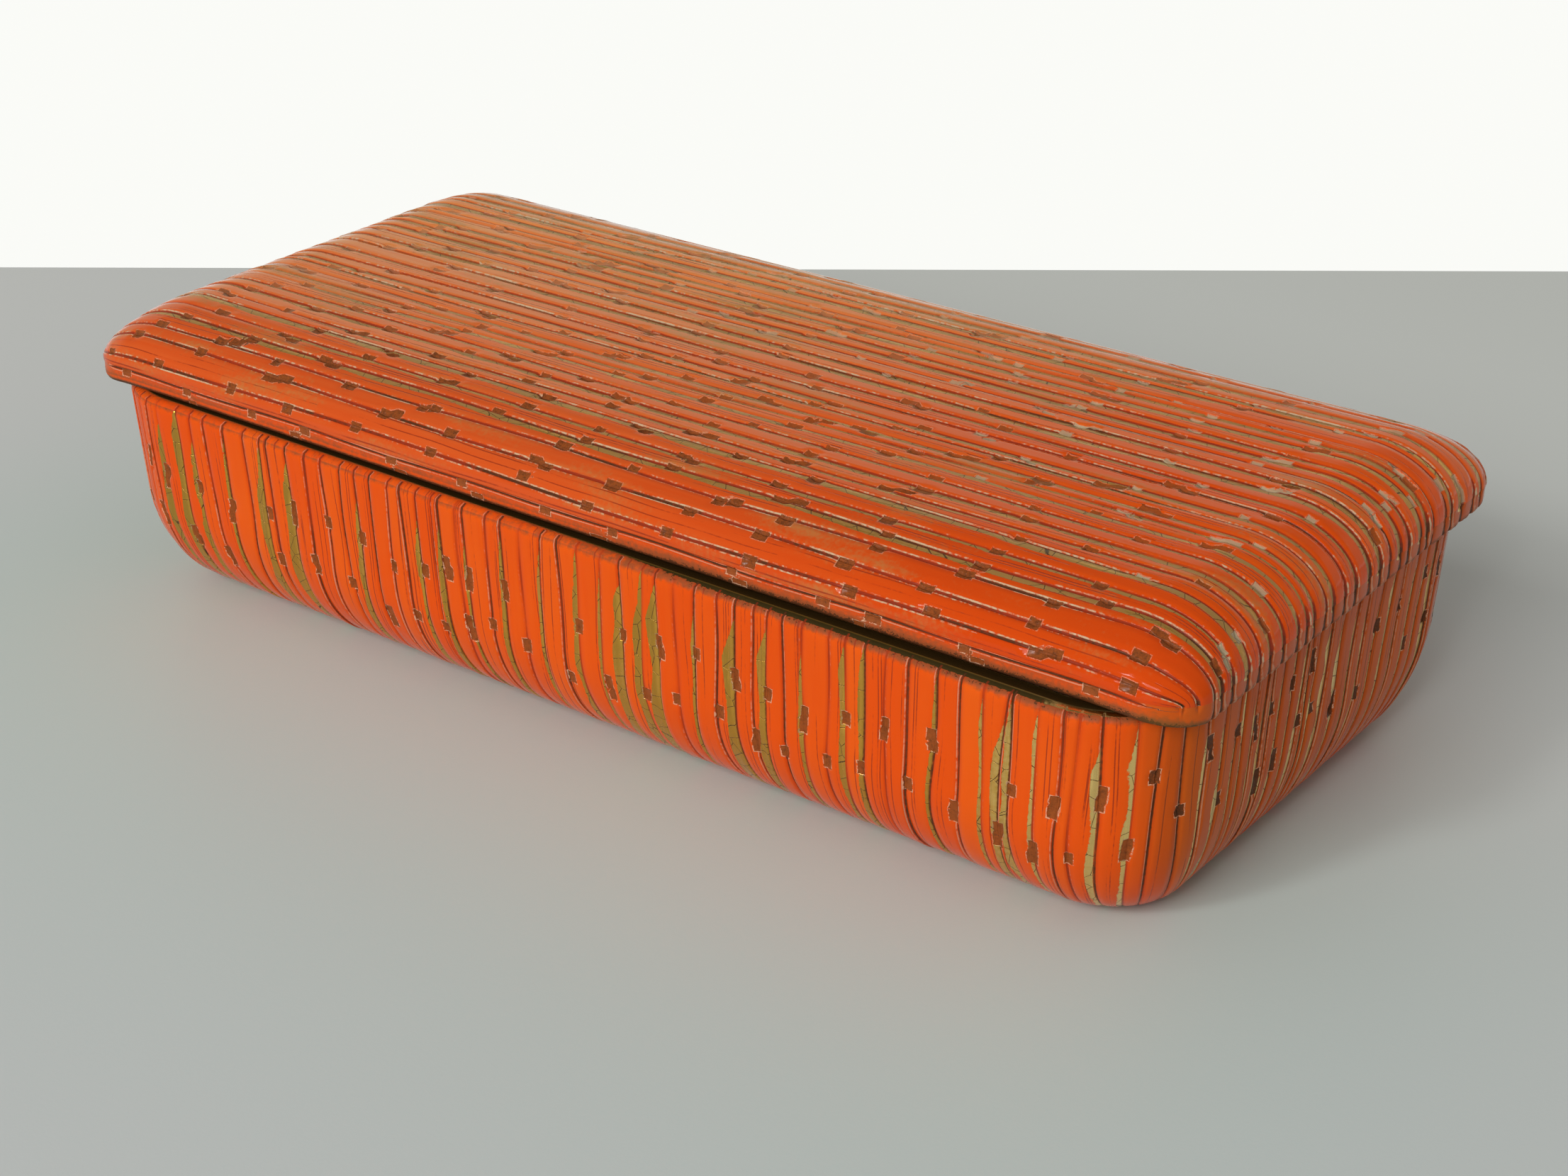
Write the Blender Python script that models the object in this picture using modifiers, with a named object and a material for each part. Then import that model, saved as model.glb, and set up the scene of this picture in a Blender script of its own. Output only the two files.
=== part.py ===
"""Ceramic lidded box: a low oblong tray with a rounded foot, and a lift-off lid.

The tray (base) and the lid are the two fired pieces. Each is a loft through level sections, taken in order
round the piece's profile. A section is an oblong with round corners, and has its own half length, half width
and corner radius, because the walls curve in further along the sides than at the ends. A quarter of the
piece is lofted, mirrored twice, and the edges that its sections mark are then rounded.

Units are metres, +Z is up. The origin is on the surface that the box stands on, under its middle. The box is
long in X. Its front, where the tray's rim shows past the lid, faces -Y.
"""

import bmesh
import bpy
from math import cos, pi, sin

# The tray, over its outside
base_length = 0.2348
base_width = 0.1148
rim_height = 0.0423
rim_corner = 0.0190           # radius of the corners, seen from above, at the rim
foot_corner = 0.0070          # the same where the wall meets the foot
rim_band = 0.0030             # the wall stands upright over this height below the rim
side_taper = 0.0019           # how far the side walls lean in from there down to the foot
end_taper = 0.0023
side_round = 0.0170           # width of the curve that joins a side wall to the foot
end_round = 0.0105            # the same under an end wall
foot_round_height = 0.0210    # height at which that curve has become the wall
wall = 0.0055
rim_edge = 0.0013             # radius of the rim's two edges
foot_ring = 0.0070            # width of the flat ring that stands on the table
foot_recess = 0.0012          # depth of the hollow that the ring goes round
foot_edge = 0.0005

# The cavity inside the tray
floor_thickness = 0.0060
cavity_round_height = 0.0160  # height of the curve between the floor and the wall

# The lid, and how it sits on the tray
box_height = 0.0560           # from the table to the lid's flat top
side_setback = 0.0014         # how much narrower the lid is than the tray, on each side
seat_gap = 0.0003             # over the rim of the end walls, which carry the lid
side_gap = 0.0006             # over the rim at the middle of the sides, where the lid arches clear
lip_clearance = 0.0003        # between the lip and the end wall that it hangs over
lip_drop = 0.0011             # how far the lip hangs below the seat there
lip_thickness = 0.0037        # from the lip's lowest edge up to its widest line
lip_undercut = 0.0023         # how far that edge lies inside the widest line
lip_edge = 0.0006
lid_corner = 0.0090           # radius of the corners, seen from above, at the lip
crown_corner = 0.0063         # the same where the flat top starts
end_crown = 0.0155            # width of the pillowed margin at the ends
side_crown = 0.0223           # the same along the sides
lid_thickness = 0.0062        # of the slab over the hollow underside

# The flange under the lid, which drops inside the rim and locates the lid
flange_depth = 0.0060
flange_thickness = 0.0040
flange_clearance = 0.0022     # play between the flange and the mouth, all round
flange_edge = 0.0010
push_back_share = 0.64        # the lid lies towards the rear by this share of that play

# Counts and other plain numbers that shape the mesh
corner_steps = 9
side_steps = 9
end_steps = 3
wall_round_steps = 7
lip_steps = 4
crown_steps = 8
edge_segments = 3
arch_power = 20               # the lid comes down to its seat late, near the ends
weld_distance = 0.00001
smooth_angle = pi / 5

# Lengths that follow from those above
lid_length = base_length + 2 * (lip_undercut + lip_clearance)
lid_width = base_width - 2 * side_setback
upright_height = rim_height - rim_band
seat_height = rim_height + seat_gap


def clear_scene():
    for thing in list(bpy.data.objects):
        bpy.data.objects.remove(thing, do_unlink=True)


def new_collection(name):
    group = bpy.data.collections.new(name)
    bpy.context.scene.collection.children.link(group)
    return group


def new_material(name, colour, roughness, metallic=0.0):
    material = bpy.data.materials.new(name)
    material.use_nodes = True
    shader = material.node_tree.nodes["Principled BSDF"]
    shader.inputs["Base Color"].default_value = (*colour, 1.0)
    shader.inputs["Roughness"].default_value = roughness
    shader.inputs["Metallic"].default_value = metallic
    material.diffuse_color = (*colour, 1.0)
    return material


def section(half_length, half_width, corner, height, fall=0.0, edge=0.0, finish=0):
    """A level section of a loft.

    fall is how much lower it lies at its two ends than at mid length, edge is the radius that rounds it when
    all is lofted, and finish is the number of the material from this section to the next.
    """
    return {"half_length": half_length, "half_width": half_width, "corner": corner,
            "height": height, "fall": fall, "edge": edge, "finish": finish}


def drawn_in(outer, distance, height, **more):
    """The outline of another section drawn in by a distance. Its corners keep at least half their radius."""
    corner = max(outer["corner"] - distance, outer["corner"] / 2)
    return section(outer["half_length"] - distance, outer["half_width"] - distance, corner, height, **more)


def quarter_outline(place):
    """The section's points with x and y above zero, from the X axis round its corner to the Y axis."""
    corner = place["corner"]
    straight_length = place["half_length"] - corner
    straight_width = place["half_width"] - corner
    points = [(place["half_length"], straight_width * step / end_steps) for step in range(end_steps)]
    for step in range(corner_steps + 1):
        angle = pi / 2 * step / corner_steps
        points.append((straight_length + corner * cos(angle), straight_width + corner * sin(angle)))
    for step in range(side_steps - 1, -1, -1):
        points.append((straight_length * step / side_steps, place["half_width"]))
    return points


def ring_of_vertices(shape, place):
    ring = []
    for x, y in quarter_outline(place):
        fall_here = place["fall"] * (x / place["half_length"]) ** arch_power
        ring.append(shape.verts.new((x, y, place["height"] - fall_here)))
    return ring


def loft_mirrored(name, sections, materials, group):
    """Lofts a quarter through the sections, closes it on the axis, mirrors it in X and Y, rounds its edges."""
    shape = bmesh.new()
    rings = [ring_of_vertices(shape, place) for place in sections]
    for place, ring, following in zip(sections, rings, rings[1:]):
        for here in range(len(ring) - 1):
            face = shape.faces.new((ring[here], ring[here + 1], following[here + 1], following[here]))
            face.material_index = place["finish"]
    start_centre = shape.verts.new((0.0, 0.0, sections[0]["height"]))
    end_centre = shape.verts.new((0.0, 0.0, sections[-1]["height"]))
    shape.faces.new([start_centre] + rings[0][::-1])
    shape.faces.new([end_centre] + rings[-1])

    widest_edge = max(place["edge"] for place in sections)
    weight = shape.edges.layers.float.new("bevel_weight_edge")
    for place, ring in zip(sections, rings):
        for start, end in zip(ring, ring[1:]):
            shape.edges.get((start, end))[weight] = place["edge"] / widest_edge

    mesh = bpy.data.meshes.new(name)
    shape.to_mesh(mesh)
    shape.free()
    for material in materials:
        mesh.materials.append(material)
    mesh.shade_smooth()
    mesh.set_sharp_from_angle(angle=smooth_angle)

    piece = bpy.data.objects.new(name, mesh)
    group.objects.link(piece)
    mirror = piece.modifiers.new("two symmetry planes", "MIRROR")
    mirror.use_axis = (True, True, False)
    mirror.merge_threshold = weld_distance
    rounding = piece.modifiers.new("rounded edges", "BEVEL")
    rounding.limit_method = "WEIGHT"
    rounding.width = widest_edge
    rounding.segments = edge_segments
    rounding.use_clamp_overlap = True
    return piece


def outer_wall(height, curve_share, **more):
    """The tray's outside at a height. curve_share is 1 at the foot and 0 where the curve has become wall."""
    lean_share = max(0.0, 1 - height / upright_height)
    return section(
        base_length / 2 - end_taper * lean_share - end_round * curve_share,
        base_width / 2 - side_taper * lean_share - side_round * curve_share,
        rim_corner + (foot_corner - rim_corner) * curve_share,
        height, **more)


def tray_mouth(height, **more):
    """The cavity's outline at the rim, which the lid's flange follows."""
    return drawn_in(outer_wall(rim_height, 0.0), wall, height, **more)


def cavity_wall(height, curve_share):
    """The cavity at a height. It narrows towards its floor as the outside does towards the foot."""
    mouth = tray_mouth(height)
    lean_share = (rim_height - height) / (rim_height - floor_thickness)
    return section(
        mouth["half_length"] - end_taper * lean_share - end_round * curve_share,
        mouth["half_width"] - side_taper * lean_share - side_round * curve_share,
        mouth["corner"] + (foot_corner - mouth["corner"]) * curve_share,
        height)


def make_base(group, glaze, lustre, clay):
    """The tray: the hollow of the foot, the ring round it, the outside, the rim, and the cavity to its floor."""
    foot = outer_wall(0.0, 1.0)
    sections = [
        drawn_in(foot, foot_ring, foot_recess, edge=foot_edge),
        drawn_in(foot, foot_ring, 0.0, edge=foot_edge, finish=2),
    ]
    for step in range(wall_round_steps + 1):
        angle = pi / 2 * step / wall_round_steps
        sections.append(outer_wall(foot_round_height * (1 - cos(angle)), 1 - sin(angle)))
    sections.append(outer_wall(upright_height, 0.0))
    sections.append(outer_wall(rim_height, 0.0, edge=rim_edge, finish=1))
    sections.append(tray_mouth(rim_height, edge=rim_edge))
    for step in range(wall_round_steps, -1, -1):
        angle = pi / 2 * step / wall_round_steps
        height = floor_thickness + cavity_round_height * (1 - cos(angle))
        sections.append(cavity_wall(height, 1 - sin(angle)))
    return loft_mirrored("base", sections, (glaze, lustre, clay), group)


def make_lid(group, glaze):
    """The lid, with its origin at the seat: hollow underside, flange, seat, overhanging lip and pillowed top."""
    top = box_height - seat_height
    arch = side_gap - seat_gap                  # how far the seat rises clear of the sides
    flange_foot = rim_height - flange_depth - seat_height
    flange = drawn_in(tray_mouth(0.0), flange_clearance, flange_foot, edge=flange_edge)
    seat_outside = lip_undercut + lip_clearance
    sections = [
        drawn_in(flange, flange_thickness, top - lid_thickness, edge=flange_edge),
        drawn_in(flange, flange_thickness, flange_foot, edge=flange_edge),
        flange,
        drawn_in(flange, 0.0, arch, fall=arch),
        section(lid_length / 2 - seat_outside, lid_width / 2 - seat_outside, lid_corner - seat_outside,
                arch, fall=arch, edge=lip_edge),
    ]

    def fall_at(height):
        """The whole outside comes down at the ends: the lip's lowest edge most, and the flat top not at all."""
        return (arch + lip_drop) * (top - height) / (top - arch)

    for step in range(lip_steps + 1):
        angle = pi / 2 * step / lip_steps
        undercut = lip_undercut * (1 - sin(angle))
        height = arch + lip_thickness * (1 - cos(angle))
        sections.append(section(
            lid_length / 2 - undercut, lid_width / 2 - undercut, lid_corner - undercut,
            height, fall=fall_at(height)))
    widest_height = arch + lip_thickness
    for step in range(1, crown_steps + 1):
        angle = pi / 2 * step / crown_steps
        crown_share = 1 - cos(angle)
        height = widest_height + (top - widest_height) * sin(angle)
        sections.append(section(
            lid_length / 2 - end_crown * crown_share, lid_width / 2 - side_crown * crown_share,
            lid_corner + (crown_corner - lid_corner) * crown_share,
            height, fall=fall_at(height)))
    lid = loft_mirrored("lid", sections, (glaze,), group)
    lid.location = (0.0, flange_clearance * push_back_share, seat_height)
    return lid


clear_scene()
box = new_collection("ceramic_lidded_box")
orange_glaze = new_material("orange_glaze", (0.80, 0.10, 0.012), 0.18)
gold_lustre = new_material("gold_lustre", (0.55, 0.36, 0.09), 0.30, 1.0)
bare_clay = new_material("bare_clay", (0.62, 0.45, 0.32), 0.85)
make_base(box, orange_glaze, gold_lustre, bare_clay)
make_lid(box, orange_glaze)
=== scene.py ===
from functools import partialmethod
from math import cos, pi, radians, sin, tau

import bpy
import numpy as np
from mathutils import Matrix, Vector


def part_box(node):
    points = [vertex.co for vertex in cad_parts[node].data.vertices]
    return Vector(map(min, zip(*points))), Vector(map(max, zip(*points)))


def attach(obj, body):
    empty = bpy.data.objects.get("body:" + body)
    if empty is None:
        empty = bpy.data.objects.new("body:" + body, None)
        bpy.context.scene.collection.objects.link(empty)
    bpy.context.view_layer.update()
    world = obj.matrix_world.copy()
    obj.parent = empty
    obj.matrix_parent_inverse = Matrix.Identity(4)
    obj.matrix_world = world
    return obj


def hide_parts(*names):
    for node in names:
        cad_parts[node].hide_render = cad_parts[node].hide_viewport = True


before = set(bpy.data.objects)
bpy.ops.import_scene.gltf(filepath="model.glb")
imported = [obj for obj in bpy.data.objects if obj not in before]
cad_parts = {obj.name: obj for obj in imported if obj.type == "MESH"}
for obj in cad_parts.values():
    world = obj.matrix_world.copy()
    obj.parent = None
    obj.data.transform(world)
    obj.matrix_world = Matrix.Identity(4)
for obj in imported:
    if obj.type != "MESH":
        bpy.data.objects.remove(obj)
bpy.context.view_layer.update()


# The tray
# A low oblong dish of thick clay, closed at the foot by a flat ring. Its outside is scored from rim to foot
# while leather hard, punched in two staggered rows, glazed orange, and gilt in stripes and along the rim.

MM = 0.001                       # all sizes below are millimetres, and a mesh is in metres
tray_high = np.array(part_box("base")[1]) / MM
tray_half_length, tray_half_width, rim_height = tray_high
rim_corner = 19.0                # corner radius seen from above, at the rim and where the wall meets the foot
foot_corner = 7.0
rim_band = 3.0                   # the upright part of the wall, below the rim
side_taper = 1.9
end_taper = 2.3
side_round = 17.0                # the curve from the wall to the foot, in and up
end_round = 10.5
foot_round_height = 21.0
tray_wall = 5.5
rim_edge = 1.3
foot_ring = 7.0
foot_recess = 1.2
floor_thickness = 6.0
cavity_round_height = 16.0
score_count = 172                # scored lines round the tray
score_near = 0.13                # the columns of points beside a scored line, at its bottom and at its lip
score_wide = 0.36
gilt_rim_depth = 0.6             # how far the rim's gilding runs down the outside
corner_bend = rim_corner * pi / 2
straight_length = 2 * (tray_half_length - rim_corner)
straight_width = 2 * (tray_half_width - rim_corner)
rim_length = 2 * (straight_length + straight_width) + 4 * corner_bend
row_step = 1.12                  # distance between rows of points on the wall


def turning_levels(height, curve_share, inset=0.0):
    """Half length, half width, corner radius and height of level rings round the tray's outside.

    The wall leans inwards as it goes down from the upright band. curve_share draws it in further, from
    nothing where the curve has become wall to the whole round at the foot.
    """
    height, curve_share, inset = np.broadcast_arrays(height, curve_share, inset)
    lean = np.clip(1 - height / (rim_height - rim_band), 0, None)
    corner = rim_corner + (foot_corner - rim_corner) * curve_share
    return np.stack([
        tray_half_length - end_taper * lean - end_round * curve_share - inset,
        tray_half_width - side_taper * lean - side_round * curve_share - inset,
        np.maximum(corner - inset, corner / 2),
        height], axis=1)


def cavity_levels(angle):
    """The same rings inside the tray, from the floor at angle 0 up to where the curve has become wall."""
    curve_share = 1 - np.sin(angle)
    height = floor_thickness + cavity_round_height * (1 - np.cos(angle))
    lean = (rim_height - height) / (rim_height - floor_thickness)
    corner = rim_corner - tray_wall
    return np.stack([
        tray_half_length - tray_wall - end_taper * lean - end_round * curve_share,
        tray_half_width - tray_wall - side_taper * lean - side_round * curve_share,
        corner + (foot_corner - corner) * curve_share,
        height], axis=1)


def together(*values):
    """The values as parts of one vector at each point."""
    return np.stack(np.broadcast_arrays(*values), axis=-1)


def walk(steps):
    """Distances walked at the start and after each step."""
    return np.concatenate([[0.0], np.cumsum(steps)])


def path_length(levels):
    """Distance walked along a side's profile, row by row."""
    return walk(np.hypot(*np.diff(levels[:, [1, 3]], axis=0).T))


def rows_at(levels, places):
    """The same profile with its rows at these distances walked."""
    walked = path_length(levels)
    return np.stack([np.interp(places, walked, column) for column in levels.T], axis=1)


def evenly(levels, step):
    """The same profile with its rows one step apart."""
    length = path_length(levels)[-1]
    return rows_at(levels, np.linspace(0, length, int(round(length / step)) + 1))


def around_the_rim(place):
    """Where a distance along the rim lies: its shares of the straight length and width, and the way it faces.

    The distance starts at the middle of the corner at +X +Y and runs anticlockwise seen from above, over the
    back first.
    """
    quarter = [straight_length, corner_bend, straight_width, corner_bend]
    stations = np.cumsum([0, corner_bend / 2, *quarter, *quarter[:3], corner_bend / 2])
    place = np.mod(place, stations[-1])
    along = np.interp(place, stations, [1, 1, -1, -1, -1, -1, 1, 1, 1, 1])
    across = np.interp(place, stations, [1, 1, 1, 1, -1, -1, -1, -1, 1, 1])
    facing = np.interp(place, stations, np.array([1, 2, 2, 4, 4, 6, 6, 8, 8, 9]) * pi / 4)
    return along, across, facing


def level_rings(where, levels):
    """Points of level oblong rings, rows by columns.

    A point lies at its shares of the straight length and width, plus one corner radius the way it faces.
    """
    along, across, facing = where
    length, width, corner, height = levels.T[:, :, None]
    x = along * (length - corner) + corner * np.cos(facing)
    y = across * (width - corner) + corner * np.sin(facing)
    return together(x, y, height)


def unrolled(where, levels, spread):
    """Places of level rings on the UV page: seen from above, and spread out by a distance for each ring."""
    return level_rings(where, levels + np.outer(spread, [1, 1, 0, 0]))[..., :2]


def smooth(value, low, high):
    """0 up to low, 1 from high on, and a smooth step between."""
    share = np.clip((value - low) / (high - low), 0, 1)
    return share * share * (3 - 2 * share)


def wander(place, amount, waves, rng, count):
    """Slow sideways drift of count hand-drawn lines along place: two sine waves of random phase each."""
    phase = rng.uniform(0, tau, (2, count))
    length = rng.uniform(*waves, (2, count))
    wave = np.sin(place[:, None, None] * tau / length + phase)
    return amount * (0.7 * wave[:, 0] + 0.3 * wave[:, 1])


def column_shares(gaps):
    """Band number and share of its band for each column of points.

    Every band between two scored lines has seven: two at each line, and three between.
    """
    near = np.minimum(score_near, gaps * 0.1)
    wide = np.minimum(score_wide, gaps * 0.28)
    inner = wide + (gaps - 2 * wide) * np.array([[0.25], [0.5], [0.75]])
    offsets = np.stack([near, wide, *inner, gaps - wide, gaps - near], axis=1)
    band = np.repeat(np.arange(len(gaps)), offsets.shape[1])
    return band, (offsets / gaps[:, None]).ravel()


def scored_bands(lines, band, share, strength, side, gold):
    """Measures of scored, gilt bands at each point, rows by columns.

    Gives the point's place across, its distance to the nearest line, whether that line has a burr on this
    side, the line's strength, how far the point lies inside a gold stripe, and where in its band, from -1 to
    1. side says where a line's burr is: -1, 1, or 0 for both sides. gold is the width of the stripe along the
    band's second line, or negative where there is none.
    """
    left, right = lines[:, band], lines[:, band + 1]
    place = left + share * (right - left)
    from_left, from_right = place - left, right - place
    by_left = from_left <= from_right
    distance = np.minimum(from_left, from_right)
    nearest = np.where(by_left, band, band + 1)
    rows = np.arange(len(lines))[:, None]
    banked = (np.where(by_left, 1, -1) * side[nearest] >= 0).astype(float)
    width = gold[:, band]
    inside = np.where(width > -2, np.minimum(width - from_right, from_right), -0.6 - distance)
    return place, distance, banked, strength[rows, nearest], inside, 2 * share - 1


def hairlines(lines, band, place, rng):
    """Signed distances to three finer lines in each band, which keep to shares of its width.

    Two of them lie close to each other. A line that its band lacks is far off.
    """
    gaps = np.diff(lines.mean(axis=0))
    first = gaps * rng.uniform(0.22, 0.7, len(gaps))
    second = first + rng.uniform(0.45, 0.9, len(gaps))
    at = np.stack([first, second, gaps * rng.uniform(0.15, 0.85, len(gaps))])
    at = np.where(rng.random(at.shape) < [[0.75], [0.45], [0.35]], at, -9.0)
    sway = wander(np.arange(len(lines)) * 1.1, 0.10, (18, 50), rng, len(gaps))
    return together(*(place - lines[:, band] - (offset + sway)[:, band] for offset in at))


def punch(marks, along, across, reach=3.0):
    """For each point, how far it lies outside the nearest punched oblong, along and across.

    marks is a list of centre along, centre across, half length, half width, depth and how pale it is. The
    third and fourth measures are that mark's depth and paleness. Points further off than reach say reach.
    """
    found = np.full(across.shape + (4,), reach)
    found[..., 2:] = 0.0
    for at_along, at_across, half_along, half_across, depth, pale in marks:
        rows = np.nonzero(np.abs(along - at_along) < half_along + reach)[0]
        near = slice(rows[0], rows[-1] + 1) if len(rows) else slice(0, 0)
        off_along = np.abs(along[near, None] - at_along) - half_along
        off_across = np.abs(across[near] - at_across) - half_across
        closer = np.maximum(off_along, off_across) < found[near, :, :2].max(axis=2)
        found[near] = np.where(closer[..., None], together(off_along, off_across, depth, pale), found[near])
    return found


def relief(distance, banked, strength, inside, centred, mark, level):
    """Height of the glazed surface above the smooth form.

    A scored line is a narrow trench with a raised burr on one side. A band is slightly crowned, lies at a
    level of its own and is lower where the gold covers scraped clay. A punched mark is a flat pit with a
    low raised border.
    """
    distance = np.abs(distance)
    trench = -0.26 * strength * (1 - smooth(distance, 0.05, 0.34))
    bank = 0.08 * strength * banked * (1 - smooth(np.abs(distance - score_wide), 0.0, 0.3))
    crown = 0.09 * (1 - centred ** 4) + level
    scraped = -0.12 * smooth(inside, 0.0, 0.4)
    outside = mark[..., :2].max(axis=-1)
    border = 0.08 * (1 - smooth(np.abs(outside - 0.25), 0.0, 0.5)) * (mark[..., 2] > 0)
    pit = smooth(-outside, -0.15, 0.35)
    return (trench + bank + crown + scraped + border) * (1 - pit) - mark[..., 2] * pit


# Every point's measures in millimetres, and what they are on plain glaze, far from all marks
PLAIN = {
    "score": (3.0, 0.0, 0.0),     # distance to the nearest scored line, whether it has a burr here, strength
    "hair": (3.0, 3.0, 3.0),      # signed distances to three finer lines
    "mark": (3.0, 3.0, 0.0),      # how far outside a punched mark, along and across, and how pale that is: a painted reflection in the pit
    "gold": -3.0,                 # how far inside a gold stripe
    "worn": 0.0,                  # how thin the glaze is, over 1 on the rim's flat, and negative on the lid
    "tone": 0.0,                  # lighter or deeper glaze, band by band
    "lift": 0.0,                  # relief
    "comb": (0.0, 0.0, 0.0),      # place across and along the lines
    "strip": (0.0, 0.0),          # distances round the piece and up its wall, for the UV map
    "plan": (0.0, 0.0)}           # place seen from above and unrolled, for the UV map


def rings(points, **measures):
    """A block of rings: points is rows by columns by three, and what isn't given is that of plain glaze."""
    block = {"points": points}
    for name, plain in PLAIN.items():
        value = measures.get(name, plain)
        shape = points.shape[:2] + (() if np.isscalar(plain) else (len(plain),))
        block[name] = np.broadcast_to(np.asarray(value, float), shape)
    return block


def join_blocks(blocks):
    """Points and measures of all blocks as flat arrays, and each ring's own point numbers."""
    flat = {name: np.concatenate([block[name].reshape(-1, *block[name].shape[2:]) for block in blocks])
            for name in ["points", *PLAIN]}
    numbers, start = [], 0
    for block in blocks:
        rows, columns = block["points"].shape[:2]
        numbers += list(start + np.arange(rows * columns).reshape(rows, columns))
        start += rows * columns
    return flat, numbers


def skin_faces(numbers):
    """Faces between successive closed rings, as one array for each pair, after one face that fills the first.

    Where the next ring has half or twice the points, a face has five corners, and else four.
    """
    faces = [numbers[0][None, ::-1]]
    for low, high in zip(numbers, numbers[1:]):
        if len(low) == len(high):
            corners = [low, np.roll(low, -1), np.roll(high, -1), high]
        elif len(low) > len(high):
            corners = [low[0::2], low[1::2], np.roll(low[0::2], -1), np.roll(high, -1), high]
        else:
            corners = [low, np.roll(low, -1), np.roll(high[0::2], -1), high[1::2], high[0::2]]
        faces.append(np.stack(corners, axis=1))
    return faces


def facing_out(points, faces):
    """Unit normals at the points: the mean of the faces round each, weighted by their areas."""
    total = np.zeros_like(points)
    for corners in faces:
        a, b, c, d = (points[corners[:, i]] for i in (0, 1, 2, corners.shape[1] - 1))
        normal = np.cross(c - a, d - b)
        for i in range(corners.shape[1]):
            for axis in range(3):
                total[:, axis] += np.bincount(corners[:, i], normal[:, axis], len(points))
    return total / np.maximum(np.linalg.norm(total, axis=1, keepdims=True), 1e-12)


def make_mesh(name, flat, faces, clay_pairs, page, materials):
    """The piece's mesh: each point moves out along its normal by its lift, and measures become attributes.

    The faces of the numbered pairs of rings are bare clay. page gives each face's corners their place on the
    piece's own UV map, in shares of the map.
    """
    points = flat["points"] + facing_out(flat["points"], faces) * flat["lift"][:, None]
    corners = np.concatenate([f.ravel() for f in faces])
    sizes = np.concatenate([np.full(len(f), f.shape[1]) for f in faces])
    finish = np.concatenate([np.full(len(f), int(pair in clay_pairs)) for pair, f in enumerate(faces)])
    mesh = bpy.data.meshes.new(name)
    mesh.vertices.add(len(points))
    mesh.vertices.foreach_set("co", (points * MM).ravel())
    mesh.loops.add(len(corners))
    mesh.loops.foreach_set("vertex_index", corners.astype(np.int32))
    mesh.polygons.add(len(sizes))
    mesh.polygons.foreach_set("loop_start", (np.cumsum(sizes) - sizes).astype(np.int32))
    mesh.update(calc_edges=True)
    mesh.polygons.foreach_set("use_smooth", np.ones(len(sizes), bool))
    mesh.polygons.foreach_set("material_index", finish.astype(np.int32))
    for measure in ("gold", "worn", "tone", "score", "hair", "mark", "comb"):
        values = flat[measure].astype(np.float32)
        kind, field = ("FLOAT", "value") if values.ndim == 1 else ("FLOAT_VECTOR", "vector")
        mesh.attributes.new(measure, kind, "POINT").data.foreach_set(field, values.ravel())
    mesh.uv_layers.new(name="OFBake").uv.foreach_set("vector", page.astype(np.float32).ravel())
    for material in materials:
        mesh.materials.append(material)
    piece = bpy.data.objects.new(name, mesh)
    bpy.context.scene.collection.objects.link(piece)
    return piece


def lay_on_page(flat, faces, on_plan, sides, strips, plans, page_size):
    """Corner places on the UV map, in shares of the page.

    A wall face lies in the strip of its side of the box: sides are the distances along a long and a short
    side, and strips the places of the four strips. A plan face lies round a plan's centre: plans lists for
    each number in on_plan the centre and the scale.
    """
    places = []
    starts = np.cumsum([0, *sides, sides[0]])
    for corners, plan in zip(faces, on_plan):
        if plan is None:
            around, height = np.moveaxis(flat["strip"][corners], -1, 0)
            wrapped = around < around.max(axis=1, keepdims=True) - sum(sides)
            around = around + 2 * sum(sides) * wrapped
            side = np.searchsorted(starts[1:], around.mean(axis=1), side="right")
            x, y = np.array(strips)[side].T[:, :, None]
            place = together(around - starts[side][:, None] + x, height + y)
        else:
            x, y, scale = plans[plan]
            place = flat["plan"][corners] * scale + (x, y)
        places.append(place.reshape(-1, 2))
    return np.concatenate(places) / page_size


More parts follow.
